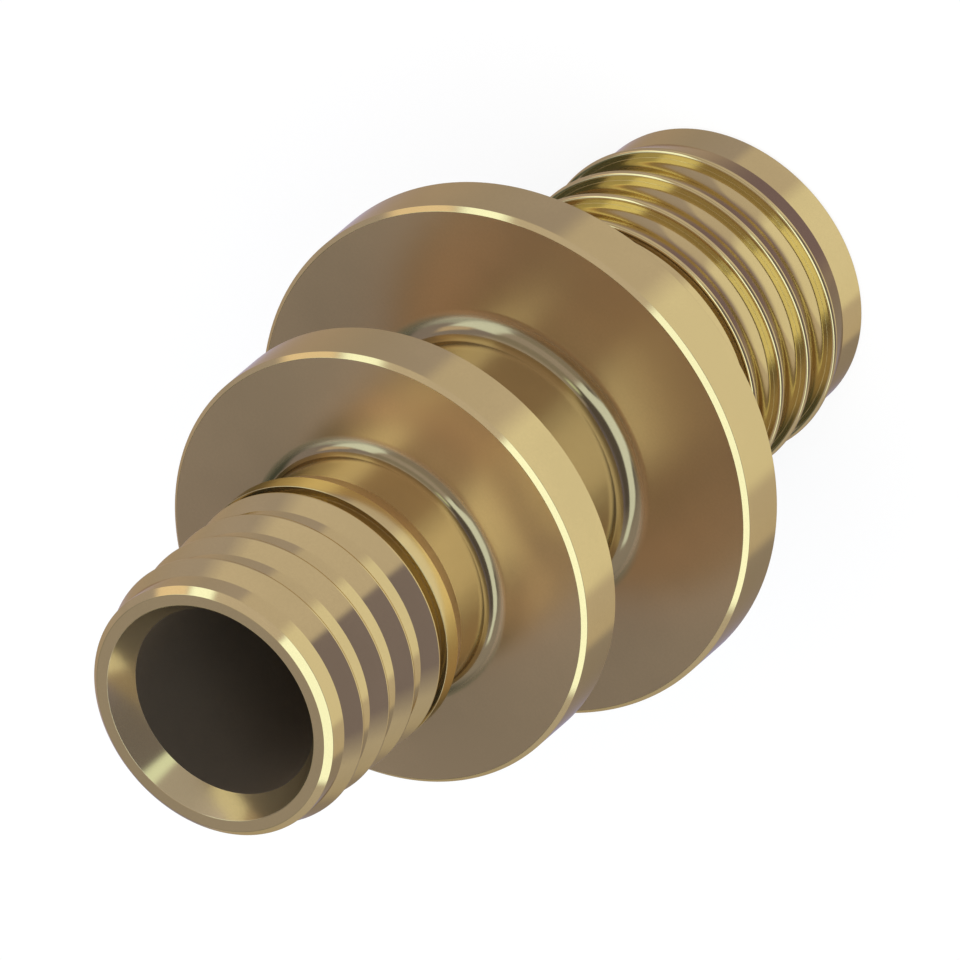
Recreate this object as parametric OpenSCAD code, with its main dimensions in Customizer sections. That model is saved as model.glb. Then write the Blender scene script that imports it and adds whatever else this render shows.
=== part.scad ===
// Reducing coupling for plastic pipe: one turned brass body with a barbed
// spigot at each end, a shoulder flange behind each spigot and a stepped
// through bore. It stands on the end face of its large spigot, +Z along its
// axis, with the small spigot on top.

/* [Small spigot] */
// Diameter of the plain lands between the barbs
small_land_d = 16; // [15.4:0.1:18]
// Height of a barb above the land
small_barb_h = 0.5; // [0.3:0.05:0.8]
// Distance from one barb to the next
small_barb_pitch = 2.92; // [2.5:0.01:3.2]
// Length of the sloping side of a barb
small_slope_l = 1.35; // [0.9:0.05:1.5]
// Plain land ahead of the first barb, with the end chamfer
small_lead_l = 1.65; // [0.8:0.05:3]
// Distance from the end face to the flange
small_spigot_l = 19.3; // [18:0.05:30]
// Diameter of the bore
small_bore_d = 11.9; // [8:0.1:12.6]
// Number of barbs
small_barbs = 4; // [1:1:4]

/* [Large spigot] */
// Diameter of the plain lands between the barbs
large_land_d = 19; // [18.4:0.1:22]
// Height of a barb above the land
large_barb_h = 0.5; // [0.3:0.05:0.8]
// Distance from one barb to the next
large_barb_pitch = 3.15; // [2.6:0.05:3.4]
// Length of the sloping side of a barb
large_slope_l = 1.6; // [0.9:0.05:1.7]
// Plain land ahead of the first barb, with the end chamfer
large_lead_l = 2.6; // [0.8:0.05:4]
// Distance from the end face to the flange
large_spigot_l = 22.25; // [21.5:0.05:34]
// Diameter of the bore
large_bore_d = 15; // [12.8:0.1:15.6]
// Number of barbs
large_barbs = 4; // [1:1:4]

/* [Barbs and collars] */
// Radius of the barb crest
barb_edge_r = 0.25; // [0.1:0.01:0.4]
// Width of the groove between the last barb and the collar
groove_w = 0.65; // [0.4:0.05:1]
// Length of the plain part of the collar
collar_l = 1.2; // [0.8:0.05:2]
// Length of the collar's sloping back
collar_back_l = 1.25; // [0.8:0.05:2]
// Depth of groove and neck below the land
relief_depth = 0.35; // [0.1:0.05:0.6]

/* [Flanges] */
// Diameter of the flange behind the small spigot
small_flange_d = 27.7; // [23:0.1:34]
// Thickness of the flange behind the small spigot
small_flange_t = 3.8; // [2:0.05:6]
// Diameter of the flange behind the large spigot
large_flange_d = 32.8; // [27:0.1:40]
// Thickness of the flange behind the large spigot
large_flange_t = 3.75; // [2:0.05:6]
// Chamfer on the flange edges
flange_chamfer = 0.28; // [0.1:0.02:0.6]

/* [Necks] */
// Distance between the two flanges
waist_l = 10.7; // [6:0.05:20]
// Diameter of the waist between the two flanges
waist_d = 16.8; // [16.2:0.1:19]
// Fillet between the small spigot's neck and its flange
small_fillet_r = 1; // [0.5:0.1:2]
// Fillets between the other necks and their flanges
large_fillet_r = 1.5; // [0.5:0.1:2.5]

/* [Ends and bore] */
// Chamfer around the outside of both end faces
end_chamfer = 0.4; // [0.1:0.05:0.6]
// Widening of the bore's mouth, on the radius
mouth_w = 0.95; // [0.3:0.05:0.95]
// Depth of the bore's tapered mouth
mouth_l = 1.65; // [0.5:0.05:4]
// Half angle of the cone between the two bores
step_angle = 45; // [20:1:60]

/* [Hidden] */

$fn = 96;
// Sections are drawn a little into each other, so that they join into one
overlap = 0.5;
// Cutting tools run past the faces that they cut
cut_run = 1;

small_land_r = small_land_d / 2;
large_land_r = large_land_d / 2;
small_flange_r = small_flange_d / 2;
large_flange_r = large_flange_d / 2;
small_bore_r = small_bore_d / 2;
large_bore_r = large_bore_d / 2;
waist_r = waist_d / 2;

// Heights of the flange faces above the large end
large_flange_z = large_spigot_l;
waist_z = large_flange_z + large_flange_t;
small_flange_z = waist_z + waist_l;
small_neck_z = small_flange_z + small_flange_t;
total_l = small_neck_z + small_spigot_l;

// The bores meet in a cone inside the flange behind the large spigot
bore_step_l = (large_bore_r - small_bore_r) / tan(step_angle);
bore_step_z = large_flange_z + large_flange_t / 2;

module coupling_body() {
    color([0.72, 0.62, 0.42])
    difference() {
        rotate_extrude() outer_section();
        through_bore();
    }
}

// Half section of the outside: X is the radius, Y runs up the axis
module outer_section() {
    spigot_section(large_land_r, large_barb_h, large_barb_pitch, large_slope_l,
        large_lead_l, large_spigot_l, large_barbs);
    translate([0, total_l]) mirror([0, 1])
        spigot_section(small_land_r, small_barb_h, small_barb_pitch, small_slope_l,
            small_lead_l, small_spigot_l, small_barbs);
    flange_section(large_flange_z, large_flange_t, large_flange_r);
    flange_section(small_flange_z, small_flange_t, small_flange_r);
    translate([0, waist_z - overlap]) square([waist_r, waist_l + 2 * overlap]);
    // The neck under the large flange and the waist have the large fillet
    translate([large_land_r - relief_depth, large_flange_z]) mirror([0, 1]) fillet_section(large_fillet_r);
    translate([waist_r, waist_z]) fillet_section(large_fillet_r);
    translate([waist_r, small_flange_z]) mirror([0, 1]) fillet_section(large_fillet_r);
    translate([small_land_r - relief_depth, small_neck_z]) fillet_section(small_fillet_r);
}

// A spigot from its end face at Y = 0 up to its flange at Y = length
module spigot_section(land_r, barb_h, pitch, slope_l, lead_l, length, barbs) {
    neck_r = land_r - relief_depth;
    last_barb_y = lead_l + (barbs - 1) * pitch + slope_l;
    groove_y = last_barb_y + barb_edge_r;
    collar_y = groove_y + groove_w;
    chamfered_end(land_r, groove_y);
    for (i = [0 : barbs - 1])
        translate([land_r, lead_l + i * pitch]) barb_section(barb_h, slope_l);
    translate([0, groove_y - overlap]) square([neck_r, length - groove_y + 2 * overlap]);
    translate([0, collar_y]) collar_section(land_r, barb_h, neck_r);
}

// The plain land with the chamfer around the end face
module chamfered_end(land_r, length) {
    polygon([
        [0, 0],
        [land_r - end_chamfer, 0],
        [land_r, end_chamfer],
        [land_r, length],
        [0, length]
    ]);
}

// One barb on the land: a slope that rises towards the flange, a rounded
// crest and a steep back
module barb_section(height, slope_l) {
    crest = [height - barb_edge_r, slope_l];
    // The slope touches the crest's circle, seen from the slope's foot
    reach = norm(crest);
    touch_angle = atan2(crest[0], crest[1]) + asin(barb_edge_r / reach);
    touch_l = sqrt(reach * reach - barb_edge_r * barb_edge_r);
    touch = touch_l * [sin(touch_angle), cos(touch_angle)];
    polygon([
        [-overlap, 0],
        [0, 0],
        touch,
        crest,
        crest + [0, barb_edge_r],
        [-overlap, slope_l + barb_edge_r]
    ]);
    translate(crest) circle(r = barb_edge_r);
    translate([0, slope_l]) back_block(height);
}

// The metal under the crest, back to the steep face
module back_block(height) {
    translate([-overlap, 0]) square([overlap + height - barb_edge_r, barb_edge_r]);
}

// The collar that the pipe's end stops at, with its sloping back
module collar_section(land_r, barb_h, neck_r) {
    collar_r = land_r + barb_h;
    polygon([
        [0, 0],
        [collar_r, 0],
        [collar_r, collar_l],
        [land_r, collar_l + collar_back_l],
        [neck_r, collar_l + collar_back_l],
        [0, collar_l + collar_back_l]
    ]);
}

// A flange with both edges chamfered
module flange_section(z, thickness, r) {
    c = flange_chamfer;
    translate([0, z]) polygon([
        [0, 0],
        [r - c, 0],
        [r, c],
        [r, thickness - c],
        [r - c, thickness],
        [0, thickness]
    ]);
}

// A concave fillet that stands on a shaft at X = 0 and rises from Y = r down
// to a face at Y = 0
module fillet_section(r) {
    difference() {
        translate([-overlap, -overlap]) square([overlap + r, overlap + r]);
        translate([r, r]) circle(r = r);
    }
}

// The two bores, the cone between them and their tapered mouths
module through_bore() {
    translate([0, 0, -cut_run]) cylinder(r = large_bore_r, h = bore_step_z + cut_run);
    translate([0, 0, bore_step_z])
        cylinder(r1 = large_bore_r, r2 = small_bore_r, h = bore_step_l);
    translate([0, 0, bore_step_z]) cylinder(r = small_bore_r, h = total_l - bore_step_z + cut_run);
    bore_mouth(large_bore_r);
    translate([0, 0, total_l]) mirror([0, 0, 1]) bore_mouth(small_bore_r);
}

// A tapered mouth at Z = 0 that opens downwards
module bore_mouth(bore_r) {
    past = cut_run * mouth_w / mouth_l;
    translate([0, 0, -cut_run])
        cylinder(r1 = bore_r + mouth_w + past, r2 = bore_r, h = mouth_l + cut_run);
}

coupling_body();
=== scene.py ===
"""Studio scene of a turned brass reducing coupling.

The part stands on the end face of its large spigot, +Z along its axis. One
closed outline is turned about Z; the sizes are the part's own, in millimetres,
and only the finished mesh is in metres.
"""

import math

import bpy
from mathutils import Matrix, Vector


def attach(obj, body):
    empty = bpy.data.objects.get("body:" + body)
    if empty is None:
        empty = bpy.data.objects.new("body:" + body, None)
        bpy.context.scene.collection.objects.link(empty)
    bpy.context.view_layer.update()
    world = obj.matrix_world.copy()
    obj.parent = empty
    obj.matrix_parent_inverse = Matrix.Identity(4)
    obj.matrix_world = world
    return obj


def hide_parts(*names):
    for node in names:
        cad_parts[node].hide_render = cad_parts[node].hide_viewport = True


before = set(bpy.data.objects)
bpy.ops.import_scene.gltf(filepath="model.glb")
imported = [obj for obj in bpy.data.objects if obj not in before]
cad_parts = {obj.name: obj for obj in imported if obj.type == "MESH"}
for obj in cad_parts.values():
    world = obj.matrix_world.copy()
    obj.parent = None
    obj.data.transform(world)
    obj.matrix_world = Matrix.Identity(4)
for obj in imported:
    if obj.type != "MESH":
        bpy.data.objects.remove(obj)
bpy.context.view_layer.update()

MM = 0.001

# Spigots: lands, barbs and lengths, from the end face towards the flange
SMALL = dict(land_r=8.0, barb_h=0.5, pitch=2.92, slope_l=1.35, lead_l=1.65, length=19.3, bore_r=5.95)
LARGE = dict(land_r=9.5, barb_h=0.5, pitch=3.15, slope_l=1.6, lead_l=2.6, length=22.25, bore_r=7.5)
# Radii that the tool leaves at the foot of the inner barbs' slopes and of the steep backs
SMALL.update(foot_r=0.04, back_foot_r=0.04)
LARGE.update(foot_r=4.5, back_foot_r=0.015)
BARBS = 4
BARB_EDGE_R = 0.25
GROOVE_W = 0.65
COLLAR_L = 1.2
COLLAR_BACK_L = 1.25
RELIEF_DEPTH = 0.35
END_CHAMFER = 0.4
MOUTH_W = 0.95
MOUTH_L = 1.65

# Flanges, waist and their fillets
LARGE_FLANGE_R = 16.4
LARGE_FLANGE_T = 3.75
SMALL_FLANGE_R = 13.85
SMALL_FLANGE_T = 3.8
FLANGE_CHAMFER = 0.28
WAIST_R = 8.4
WAIST_L = 10.7
SMALL_FILLET_R = 1.0
LARGE_FILLET_R = 1.5

# Heights above the large end
LARGE_FLANGE_Z = LARGE["length"]
WAIST_Z = LARGE_FLANGE_Z + LARGE_FLANGE_T
SMALL_FLANGE_Z = WAIST_Z + WAIST_L
SMALL_NECK_Z = SMALL_FLANGE_Z + SMALL_FLANGE_T
TOTAL_L = SMALL_NECK_Z + SMALL["length"]
BORE_STEP_Z = LARGE_FLANGE_Z + LARGE_FLANGE_T / 2


def groove(spigot):
    """Where a spigot's groove starts and ends, from its end face."""
    start = spigot["lead_l"] + (BARBS - 1) * spigot["pitch"] + spigot["slope_l"] + BARB_EDGE_R
    return start, start + GROOVE_W


# The grooves behind the last barbs and the backs of the collars
GROOVES = [groove(LARGE), tuple(TOTAL_L - y for y in reversed(groove(SMALL)))]
COLLAR_BACKS = [
    tuple(groove(LARGE)[1] + COLLAR_L + y for y in (0, COLLAR_BACK_L)),
    tuple(TOTAL_L - groove(SMALL)[1] - COLLAR_L - y for y in (COLLAR_BACK_L, 0)),
]
# The necks between the collars and the flanges, with their fillets
NECKS = [(COLLAR_BACKS[0][1], LARGE_FLANGE_Z), (SMALL_NECK_Z, COLLAR_BACKS[1][0])]

# The lathe leaves no knife edge: every plain corner is broken by this radius
BROKEN_EDGE_R = 0.04
# Steps round the axis, and the widest step along an arc of the outline
TURNS = 208
ARC_STEP = math.radians(9)
# Spans taller than this on the radius are faces square to the axis
FACE_RISE = 1.0

# Finishes, in the order of the mesh's material slots
BRIGHT, FLANK, WAIST, SATIN, REAMED, DULL = range(6)
# How far from the bore's wall a span still counts as the bore
BORE_SKIN = 0.01

# Brass as its brightest plain surfaces show it, in linear light
BRASS = (0.658, 0.521, 0.246)
# Satin brass is a little redder; the necks, waist, mouths, bore and grooves are duller, the necks and
# waist also darker; the fillets are darker still, with painted shade for their hollows
SATIN_BRASS = (0.78, 0.57, 0.315)
NECK_BRASS = (0.50, 0.40, 0.225)
# Painted shade: the fillets get this darker tint in place of the shade that falls in their hollows
FILLET_PAINTED_SHADE = (0.37, 0.295, 0.16)
WAIST_BRASS = (0.42, 0.345, 0.205)
REAMED_BRASS = (0.64, 0.52, 0.31)
DULL_BRASS = (0.65, 0.55, 0.43)
# Blended finishes: the tints of flank, fillet (painted shade) and face, and the roughness of flank and
# face
FLANK_TINTS_WITH_FILLET_SHADE = (NECK_BRASS, FILLET_PAINTED_SHADE, SATIN_BRASS)
WAIST_TINTS_WITH_FILLET_SHADE = (WAIST_BRASS, FILLET_PAINTED_SHADE, SATIN_BRASS)
SATIN_ROUGHNESS = 0.29
BLENDED_ROUGHNESS = (0.12, SATIN_ROUGHNESS)
# How much more the satin faces blur across their turned lines than along them
FACE_BLUR = 0.5
# How much of the light the metal gives back at a grazing angle
EDGE_TINT = (0.78, 0.69, 0.50)
# What is left of the colour where the metal is worn duller
WORN_TINT = (0.94, 0.94, 0.94)
# Noises of the turned lines, the grain and the clouds of wear: scale per metre, and detail
LINES = (9000.0, 3.0)
GRAIN = (6000.0, 2.0)
CLOUDS = (160.0, 4.0)
# Values of the noises from which wear starts and at which it is full, and the grain's share
CLOUDS_SPAN = (0.35, 0.7)
GRAIN_SPAN = (0.3, 0.7)
GRAIN_SHARE = 0.5
# Depth of the turned lines, in millimetres
LINE_DEPTH = 0.0003
# Turns the blur of the finish from along the turned lines to across them
QUARTER_TURN = 0.25
# A blended finish goes by the size of its normal's Z: tint stops from a flank, over
# the two ends of a fillet, whose darker tint is painted shade, to a face, and the span in which the
# roughness changes
TINT_STOPS = (0.03, 0.3, 0.9, 0.99)
ROUGH_SPAN = (0.8, 0.99)

# The studio's light by the direction it comes from, in linear light
WHITE = (1.0, 1.0, 1.0)
KEY = (1.55, 1.87, 2.2)
FAR_LIGHT = (0.85, 1.0, 1.2)
WARM_LIGHT = (1.15, 1.0, 0.95)
PALE_LIGHT = (0.72, 0.68, 0.78)
GLINT = (1.2, 1.5, 1.3)
PANEL = (0.41, 0.39, 0.50)
ZENITH = (0.50, 0.46, 0.50)
NADIR = (0.26, 0.21, 0.40)
LEFT_GREY = (0.49, 0.46, 0.60)
BACK_GREY = (0.58, 0.53, 0.70)
HIGH_GREY = (0.50, 0.48, 0.49)
SIDE_GREY = (0.60, 0.58, 0.68)
HALF = (0.71, 0.67, 0.74)
PALE_HALF = (0.75, 0.71, 0.78)
DIM = (0.40, 0.385, 0.54)
COOL = (0.25, 0.225, 0.37)
CEILING = (0.09, 0.12, 0.125)
DARK = (0.12, 0.105, 0.13)

# Rings of that light, from azimuth to colour: from below, round the horizon and from above.
# Azimuths run from -180 to 180 degrees, 0 towards the camera, and grow to the left of one
# who stands there; elevations are in degrees above the horizon.
SWEEP_RING = [
    (-180, BACK_GREY), (-125, BACK_GREY), (-95, LEFT_GREY), (-60, LEFT_GREY),
    (-53, HALF), (-17, HALF), (-6, WHITE), (78, WHITE),
    (84, HALF), (108, HALF), (114, DIM), (180, DIM),
]
HORIZON_RING = [
    (-180, BACK_GREY), (-88, LEFT_GREY), (-72, PALE_HALF), (6, HALF),
    (10, COOL), (80, COOL), (104, SIDE_GREY), (180, SIDE_GREY),
]
UPPER_RING = [
    (-180, CEILING), (-135, CEILING), (-128, LEFT_GREY), (-75, LEFT_GREY),
    (-68, HIGH_GREY), (-8, HIGH_GREY), (0, DARK), (80, DARK),
    (105, SIDE_GREY), (130, SIDE_GREY), (150, CEILING), (180, CEILING),
]
# Elevations between which one of them turns into the next
NADIR_TO_SWEEP = (-80.0, -62.0)
SWEEP_TO_HORIZON = (-34.0, -28.0)
HORIZON_TO_UPPER = (-3.0, 8.0)
UPPER_TO_ZENITH = (54.0, 62.0)
# Cosines between which the small panel opposite the camera fades in
PANEL_SPAN = (0.992, 0.997)
# Soft boxes, each laid over the ones before it: colour, left and right azimuth, and the
# elevations of its lower and upper edge, as one height or as stops from azimuth to height
SOFT_BOXES = [
    (PALE_LIGHT, -72, -5, 24, 46),
    (
        KEY, -7, 108,
        [(-10, 24), (2, 24), (20, 32), (45, 32), (67, 26), (75, 23), (90, 18), (97, 12), (110, 8)],
        [
            (-10, 49), (2, 49), (15, 62), (29, 70), (50, 68), (63, 65),
            (73, 50), (86, 45), (93, 38), (98, 28), (112, 20),
        ],
    ),
    (FAR_LIGHT, -130, -100, 38, 58),
    (
        KEY, -105, -70,
        [(-110, 28), (-104, 27), (-90, 25), (-82, 22), (-67, 17), (-60, 16)],
        [(-110, 58), (-99, 58), (-86, 58), (-73, 48), (-60, 40)],
    ),
    (WARM_LIGHT, -109, -88, [(-110, 9), (-87, 15)], 26),
    (GLINT, -14, -1, 6, 15),
]
# Half the width of a box's soft edge, in degrees
SOFT_EDGE = 3.0

# The floor, in metres: half its width, its grey, and how much it shines to the camera
FLOOR_HALF = 2.0
FLOOR_GREY = (0.15, 0.15, 0.15)
FLOOR_SHINE = 0.85
FLOOR_ROUGHNESS = 0.9
# Painted shade: a near-black disc on the floor inside the bore, standing in for the shade there, hidden
# under the large end's ring, in millimetres
PAINTED_SHADE_GREY = (0.02, 0.02, 0.02)
PAINTED_SHADE_R = LARGE["land_r"] - 0.9
PAINTED_SHADE_Z = 0.02
PAINTED_SHADE_STEPS = 48

# The lamp over the floor, in metres and watts
LAMP_SIZE = 1.6
LAMP_POWER = 21.0
LAMP_COLOUR = (1.0, 0.96, 0.86)
LAMP_PLACE = (0.0, -1.0, 1.3)

# The camera looks down at the small end, from the front
CAMERA_AZIMUTH = math.radians(-90)
CAMERA_ELEVATION = math.radians(48.72)
# At the distance of the part's middle
MM_PER_PX = 0.05823
# A long lens, in px, because the photograph's view is close to a parallel one
FOCAL_PX = 40000.0
PHOTO_PX = 960
SENSOR = 7.2
# Where the middle of the part's axis lies in the photograph, right and down in px
MIDDLE_PX = (469.65, 490.55)
# The part's axis towards the small end, right and up in the photograph
AXIS_PX = (-0.7587, -0.6515)


def spigot_corners(spigot):
    """Corners (distance from the end face, radius, corner radius), end chamfer to neck."""
    land, slope_l, lead_l = spigot["land_r"], spigot["slope_l"], spigot["lead_l"]
    crest = land + spigot["barb_h"]
    rise = spigot["barb_h"] - BARB_EDGE_R
    # The slope touches the crest's circle, so it runs on past the crest's height
    reach = math.hypot(slope_l, rise)
    slope = math.atan2(rise, slope_l) + math.asin(BARB_EDGE_R / reach)
    peak = land + (slope_l + BARB_EDGE_R) * math.tan(slope)
    neck = land - RELIEF_DEPTH
    corners = [
        (0, land - END_CHAMFER, BROKEN_EDGE_R),
        (END_CHAMFER, land, BROKEN_EDGE_R),
    ]
    for i in range(BARBS):
        foot = lead_l + i * spigot["pitch"]
        back = foot + slope_l + BARB_EDGE_R
        foot_r = spigot["foot_r"] if i else BROKEN_EDGE_R
        corners += [(foot, land, foot_r), (back, peak, BARB_EDGE_R)]
        if i < BARBS - 1:
            corners.append((back, land, spigot["back_foot_r"]))
    groove_end = back + GROOVE_W
    collar_end = groove_end + COLLAR_L
    back_end = collar_end + COLLAR_BACK_L
    corners += [
        (back, neck, BROKEN_EDGE_R),
        (groove_end, neck, BROKEN_EDGE_R),
        (groove_end, crest, BROKEN_EDGE_R),
        (collar_end, crest, BROKEN_EDGE_R),
        (back_end, land, BROKEN_EDGE_R),
        (back_end, neck, BROKEN_EDGE_R),
    ]
    return corners


def flange_corners(z, thickness, radius):
    """Corners (height, radius, corner radius) of a flange's chamfered rim."""
    top = z + thickness
    return [
        (z, radius - FLANGE_CHAMFER, BROKEN_EDGE_R),
        (z + FLANGE_CHAMFER, radius, BROKEN_EDGE_R),
        (top - FLANGE_CHAMFER, radius, BROKEN_EDGE_R),
        (top, radius - FLANGE_CHAMFER, BROKEN_EDGE_R),
    ]


def outline():
    """The closed half section: up the outside from the large end, and back down the bore."""
    large_neck = LARGE["land_r"] - RELIEF_DEPTH
    small_neck = SMALL["land_r"] - RELIEF_DEPTH
    large_bore, small_bore = LARGE["bore_r"], SMALL["bore_r"]
    corners = spigot_corners(LARGE)
    corners.append((LARGE_FLANGE_Z, large_neck, LARGE_FILLET_R))
    corners += flange_corners(LARGE_FLANGE_Z, LARGE_FLANGE_T, LARGE_FLANGE_R)
    corners += [(WAIST_Z, WAIST_R, LARGE_FILLET_R), (SMALL_FLANGE_Z, WAIST_R, LARGE_FILLET_R)]
    corners += flange_corners(SMALL_FLANGE_Z, SMALL_FLANGE_T, SMALL_FLANGE_R)
    corners.append((SMALL_NECK_Z, small_neck, SMALL_FILLET_R))
    corners += [(TOTAL_L - y, r, edge) for y, r, edge in reversed(spigot_corners(SMALL))]
    corners += [
        (TOTAL_L, small_bore + MOUTH_W, BROKEN_EDGE_R),
        (TOTAL_L - MOUTH_L, small_bore, BROKEN_EDGE_R),
        (BORE_STEP_Z + large_bore - small_bore, small_bore, BROKEN_EDGE_R),
        (BORE_STEP_Z, large_bore, BROKEN_EDGE_R),
        (MOUTH_L, large_bore, BROKEN_EDGE_R),
        (0, large_bore + MOUTH_W, BROKEN_EDGE_R),
    ]
    return corners


def rounded(corners):
    """Points (z, r) and outward normals along the closed outline, each corner as its arc."""
    points, normals = [], []
    count = len(corners)
    for i, (z, r, edge) in enumerate(corners):
        here = Vector((z, r))
        came = (here - Vector(corners[i - 1][:2])).normalized()
        goes = (Vector(corners[(i + 1) % count][:2]) - here).normalized()
        turn = math.atan2(came.cross(goes), came.dot(goes))
        setback = edge * math.tan(abs(turn) / 2)
        start = here - came * setback
        # The outside lies on the left of the way along the outline
        side = math.copysign(1, turn)
        centre = start + Vector((-came.y, came.x)) * side * edge
        steps = max(2, math.ceil(abs(turn) / ARC_STEP))
        for k in range(steps + 1):
            angle = turn * k / steps
            left = Matrix.Rotation(angle, 2) @ Vector((-came.y, came.x))
            points.append(centre - left * side * edge)
            normals.append(left)
    return points, normals


def finish_of(a, b):
    """The finish of the outline's span from a to b."""
    z, r = (a + b) / 2
    bore = SMALL["bore_r"] if z > BORE_STEP_Z else LARGE["bore_r"]

    def within(parts):
        return any(low < z < high for low, high in parts)

    if r < bore + BORE_SKIN or within(GROOVES):
        return DULL
    if r < bore + MOUTH_W:
        return REAMED
    if WAIST_Z < z < SMALL_FLANGE_Z:
        return WAIST
    if within(COLLAR_BACKS):
        return SATIN
    return FLANK if abs(b.y - a.y) > FACE_RISE or within(NECKS) else BRIGHT


def turned_body(name, finishes):
    """The outline turned about Z, as one closed mesh with exact normals."""
    points, normals = rounded(outline())
    spans = len(points)
    verts, vert_normals, faces, slots = [], [], [], []
    for k in range(TURNS):
        angle = math.tau * k / TURNS
        c, s = math.cos(angle), math.sin(angle)
        verts += [(r * c * MM, r * s * MM, z * MM) for z, r in points]
        vert_normals += [(nr * c, nr * s, nz) for nz, nr in normals]
    for k in range(TURNS):
        a, b = k * spans, (k + 1) % TURNS * spans
        for i in range(spans):
            j = (i + 1) % spans
            faces.append((a + i, b + i, b + j, a + j))
            slots.append(finish_of(points[i], points[j]))
    mesh = bpy.data.meshes.new(name)
    mesh.from_pydata(verts, [], faces)
    for finish in finishes:
        mesh.materials.append(finish)
    mesh.polygons.foreach_set("material_index", slots)
    mesh.polygons.foreach_set("use_smooth", [True] * len(faces))
    mesh.normals_split_custom_set_from_vertices(vert_normals)
    body = bpy.data.objects.new(name, mesh)
    bpy.context.scene.collection.objects.link(body)
    return body


class Nodes:
    """Adds nodes to a tree and links values or sockets to their inputs."""

    def __init__(self, tree):
        self.tree = tree
        tree.nodes.clear()

    def add(self, kind, inputs=None, **settings):
        node = self.tree.nodes.new(kind)
        for key, value in settings.items():
            setattr(node, key, value)
        for key, value in (inputs or {}).items():
            if isinstance(value, bpy.types.NodeSocket):
                self.tree.links.new(value, node.inputs[key])
            else:
                node.inputs[key].default_value = value
        return node

    def surface(self, inputs):
        """A Principled shader, linked to the material's output."""
        shader = self.add("ShaderNodeBsdfPrincipled", inputs)
        self.add("ShaderNodeOutputMaterial", {"Surface": shader.outputs["BSDF"]})

    def math(self, operation, *values):
        return self.add("ShaderNodeMath", dict(enumerate(values)), operation=operation).outputs[0]

    def smooth(self, value, low, high, to_low=0.0, to_high=1.0):
        spans = {"From Min": low, "From Max": high, "To Min": to_low, "To Max": to_high}
        node = self.add("ShaderNodeMapRange", {"Value": value, **spans}, interpolation_type="SMOOTHSTEP")
        return node.outputs["Result"]

    def split(self, vector):
        return self.add("ShaderNodeSeparateXYZ", {"Vector": vector}).outputs

    def noise(self, place, scale, detail):
        inputs = {"Vector": place, "Scale": scale, "Detail": detail}
        return self.add("ShaderNodeTexNoise", inputs).outputs["Fac"]

    def mix(self, factor, a, b, blend="MIX"):
        settings = {"data_type": "RGBA", "blend_type": blend}
        return self.add("ShaderNodeMix", {0: factor, 6: a, 7: b}, **settings).outputs[2]

    def ramp(self, value, stops):
        node = self.add("ShaderNodeValToRGB", {"Fac": value})
        ramp = node.color_ramp
        while len(ramp.elements) < len(stops):
            ramp.elements.new(0.5)
        for element, (position, colour) in zip(ramp.elements, stops):
            element.position = position
            element.color = (*colour, 1.0)
        return node.outputs["Color"]


def rgba(colour):
    return (*colour, 1.0)


def new_material(name):
    """A new material and the maker of its nodes."""
    material = bpy.data.materials.new(name)
    material.use_nodes = True
    return material, Nodes(material.node_tree)


def brass(name, tints, shine, roughness, line_depth=0.0, across=0.0):
    """Brass off the lathe: fine turned lines, a faint grain, and clouds of slightly duller metal.

    Three tints and two roughnesses run from surfaces along the axis, over the fillets, to the
    faces square to it; the fillets' darker tint is painted shade for their hollows. A rougher
    finish scatters more light, so less of it comes back as a reflection: that share is the
    shine. The turned lines blur reflections across them more than along them: across says
    how much, from 0 to 1.
    """
    material, n = new_material(name)
    coordinates = n.add("ShaderNodeTexCoord").outputs
    place = coordinates["Object"]
    x, y, z = n.split(place)
    radius = n.math("SQRT", n.math("ADD", n.math("MULTIPLY", x, x), n.math("MULTIPLY", y, y)))
    # Turned lines run round the axis, so they vary with the radius and the height only
    section = n.add("ShaderNodeCombineXYZ", {"X": radius, "Y": z}).outputs["Vector"]
    lines = n.noise(section, *LINES)
    grain = n.noise(place, *GRAIN)
    clouds = n.noise(place, *CLOUDS)
    worn = n.math("ADD", n.smooth(clouds, *CLOUDS_SPAN), n.smooth(grain, *GRAIN_SPAN, 0.0, GRAIN_SHARE))
    if isinstance(tints[0], tuple):
        upright = n.math("ABSOLUTE", n.split(coordinates["Normal"])["Z"])
        # The fillets' tint between flank and face is painted shade for their hollows
        along, corner, square = tints
        plain = n.ramp(upright, list(zip(TINT_STOPS, (along, corner, corner, square))))
        rough = n.smooth(upright, *ROUGH_SPAN, *roughness)
    else:
        plain, rough = rgba(tints), roughness
    dull = n.mix(1.0, plain, rgba(WORN_TINT), blend="MULTIPLY")
    colour = n.mix(worn, plain, dull)
    around = n.add("ShaderNodeTangent", direction_type="RADIAL", axis="Z")
    inputs = {
        "Base Color": colour,
        "Metallic": shine,
        "Roughness": rough,
        "Specular Tint": rgba(EDGE_TINT),
        "Anisotropic": across,
        "Anisotropic Rotation": QUARTER_TURN,
        "Tangent": around.outputs["Tangent"],
    }
    if line_depth:
        turned = n.add("ShaderNodeBump", {"Strength": 1.0, "Distance": line_depth * MM, "Height": lines})
        inputs["Normal"] = turned.outputs["Normal"]
    n.surface(inputs)
    return material


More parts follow.
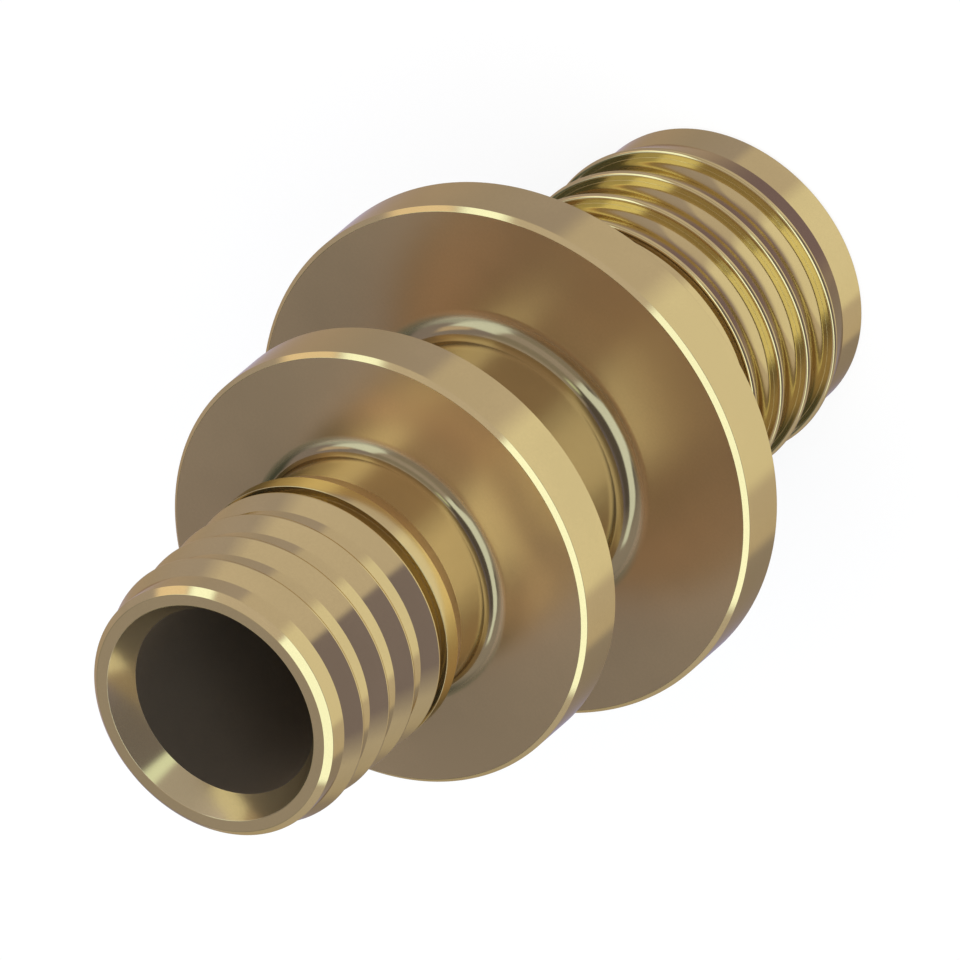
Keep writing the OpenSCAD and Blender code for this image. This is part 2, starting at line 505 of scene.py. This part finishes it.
def studio():
    """Soft boxes and a pale sweep round the part, told apart by the direction they lie in."""
    world = bpy.data.worlds.new("studio")
    bpy.context.scene.world = world
    world.use_nodes = True
    n = Nodes(world.node_tree)
    direction = n.add("ShaderNodeTexCoord").outputs["Generated"]
    x, y, z = n.split(direction)
    radians = n.math("ARCTAN2", n.math("MULTIPLY", x, -1.0), n.math("MULTIPLY", y, -1.0))
    turned = n.math("DIVIDE", radians, math.pi)
    share = n.add("ShaderNodeMapRange", {"Value": turned, "From Min": -1.0, "From Max": 1.0})
    azimuth = n.math("MULTIPLY", turned, 180.0)
    elevation = n.math("MULTIPLY", n.math("ARCSINE", z), 180 / math.pi)

    def ring(stops):
        shares = [((degrees + 180) / 360, colour) for degrees, colour in stops]
        return n.ramp(share.outputs["Result"], shares)

    def height(edge):
        """An edge's elevation: one height, or a ring of heights, told as greys from 0 to 90."""
        if isinstance(edge, int):
            return float(edge)
        greys = [(degrees, (level / 90, level / 90, level / 90)) for degrees, level in edge]
        return n.math("MULTIPLY", ring(greys), 90.0)

    def soft_box(light, colour, left, right, low, high):
        """The light with a soft box laid over it."""
        after = n.smooth(azimuth, left - SOFT_EDGE, left + SOFT_EDGE)
        before = n.smooth(azimuth, right + SOFT_EDGE, right - SOFT_EDGE)
        over = n.smooth(n.math("SUBTRACT", elevation, height(low)), -SOFT_EDGE, SOFT_EDGE)
        under = n.smooth(n.math("SUBTRACT", height(high), elevation), -SOFT_EDGE, SOFT_EDGE)
        inside = n.math("MULTIPLY", n.math("MULTIPLY", after, before), n.math("MULTIPLY", over, under))
        return n.mix(inside, light, rgba(colour))

    light = n.mix(n.smooth(elevation, *NADIR_TO_SWEEP), rgba(NADIR), ring(SWEEP_RING))
    light = n.mix(n.smooth(elevation, *SWEEP_TO_HORIZON), light, ring(HORIZON_RING))
    light = n.mix(n.smooth(elevation, *HORIZON_TO_UPPER), light, ring(UPPER_RING))
    light = n.mix(n.smooth(elevation, *UPPER_TO_ZENITH), light, rgba(ZENITH))
    # A small pale panel, which only the faces square to the axis mirror to the camera
    opposite = (0.0, math.cos(CAMERA_ELEVATION), math.sin(CAMERA_ELEVATION))
    near = n.add("ShaderNodeVectorMath", {0: direction, 1: opposite}, operation="DOT_PRODUCT")
    light = n.mix(n.smooth(near.outputs["Value"], *PANEL_SPAN), light, rgba(PANEL))
    for box in SOFT_BOXES:
        light = soft_box(light, *box)
    background = n.add("ShaderNodeBackground", {"Color": light})
    n.add("ShaderNodeOutputWorld", {"Surface": background.outputs["Background"]})


def flat_piece(name, corners, material):
    """A level polygon of the corners (x, y), in metres."""
    mesh = bpy.data.meshes.new(name)
    mesh.from_pydata([(x, y, 0.0) for x, y in corners], [], [tuple(range(len(corners)))])
    mesh.materials.append(material)
    piece = bpy.data.objects.new(name, mesh)
    bpy.context.scene.collection.objects.link(piece)
    return piece


def floor():
    """A plain pale floor under the part."""
    pale, n = new_material("pale_floor")
    # Mostly white by itself, as the photograph's ground is, so the part's shadow stays faint
    rays = n.add("ShaderNodeLightPath").outputs
    through = n.math("ADD", rays["Is Glossy Ray"], rays["Is Transmission Ray"])
    seen = n.math("ADD", rays["Is Camera Ray"], through)
    n.surface(
        {
            "Base Color": rgba(FLOOR_GREY),
            "Roughness": FLOOR_ROUGHNESS,
            "Emission Color": rgba(WHITE),
            "Emission Strength": n.math("MULTIPLY", seen, FLOOR_SHINE),
        }
    )
    low, high = -FLOOR_HALF, FLOOR_HALF
    plane = flat_piece("floor", [(low, low), (high, low), (high, high), (low, high)], pale)
    plane.visible_glossy = False
    # Painted shade: a near-black disc on the floor inside the bore, in place of the shade that the part
    # casts there
    painted_shade, n = new_material("painted_shade_disc")
    n.surface({"Base Color": rgba(PAINTED_SHADE_GREY), "Roughness": FLOOR_ROUGHNESS})
    angles = [math.tau * k / PAINTED_SHADE_STEPS for k in range(PAINTED_SHADE_STEPS)]
    rim = [(PAINTED_SHADE_R * MM * math.cos(angle), PAINTED_SHADE_R * MM * math.sin(angle)) for angle in angles]
    disc = flat_piece("painted_shade_in_bore", rim, painted_shade)
    disc.location.z = PAINTED_SHADE_Z * MM


def soft_light():
    """One large soft box above the front: the part's soft shadow on the floor falls behind it."""
    light = bpy.data.lights.new("soft_box", "AREA")
    light.shape = "DISK"
    light.size = LAMP_SIZE
    light.energy = LAMP_POWER
    light.color = LAMP_COLOUR
    lamp = bpy.data.objects.new("soft_box", light)
    lamp.location = LAMP_PLACE
    lamp.rotation_euler = (-Vector(LAMP_PLACE)).to_track_quat("-Z", "Y").to_euler()
    lamp.visible_glossy = False
    lamp.visible_camera = False
    bpy.context.scene.collection.objects.link(lamp)


def camera():
    """The photograph's view: a long lens, rolled so that the axis runs as it does there."""
    c, s = math.cos(CAMERA_ELEVATION), math.sin(CAMERA_ELEVATION)
    back = Vector((c * math.cos(CAMERA_AZIMUTH), c * math.sin(CAMERA_AZIMUTH), s))
    up = (Vector((0, 0, 1)) - back * s).normalized()
    right = up.cross(back)
    # right and up turned in the picture until the axis points along AXIS_PX
    across, along = AXIS_PX
    view_x = right * along + up * across
    view_y = up * along - right * across
    distance = FOCAL_PX * MM_PER_PX * MM
    middle = Vector((0, 0, TOTAL_L / 2 * MM))
    offset = view_x * (MIDDLE_PX[0] - PHOTO_PX / 2) - view_y * (MIDDLE_PX[1] - PHOTO_PX / 2)
    target = middle - offset * MM_PER_PX * MM
    data = bpy.data.cameras.new("camera")
    data.sensor_width = SENSOR
    data.lens = FOCAL_PX * SENSOR / PHOTO_PX
    view = bpy.data.objects.new("camera", data)
    axes = Matrix((view_x, view_y, back)).transposed()
    view.matrix_world = Matrix.Translation(target + back * distance) @ axes.to_4x4()
    bpy.context.scene.collection.objects.link(view)
    bpy.context.scene.camera = view


finishes = [
    brass("brass_bright", BRASS, shine=0.96, roughness=0.10, line_depth=LINE_DEPTH),
    # The flank and waist finishes carry painted shade in their fillets
    brass("brass_flank", FLANK_TINTS_WITH_FILLET_SHADE, shine=0.93, roughness=BLENDED_ROUGHNESS, across=FACE_BLUR),
    brass("brass_waist", WAIST_TINTS_WITH_FILLET_SHADE, shine=0.91, roughness=BLENDED_ROUGHNESS),
    brass("brass_satin", SATIN_BRASS, shine=0.93, roughness=SATIN_ROUGHNESS, across=FACE_BLUR),
    brass("brass_reamed", REAMED_BRASS, shine=0.89, roughness=0.15),
    brass("brass_dull", DULL_BRASS, shine=0.93, roughness=0.33),
]
body = turned_body("turned_coupling", finishes)
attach(body, "root")
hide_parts("coupling_body")

studio()
floor()
soft_light()
camera()
bpy.context.scene.view_settings.view_transform = "Standard"
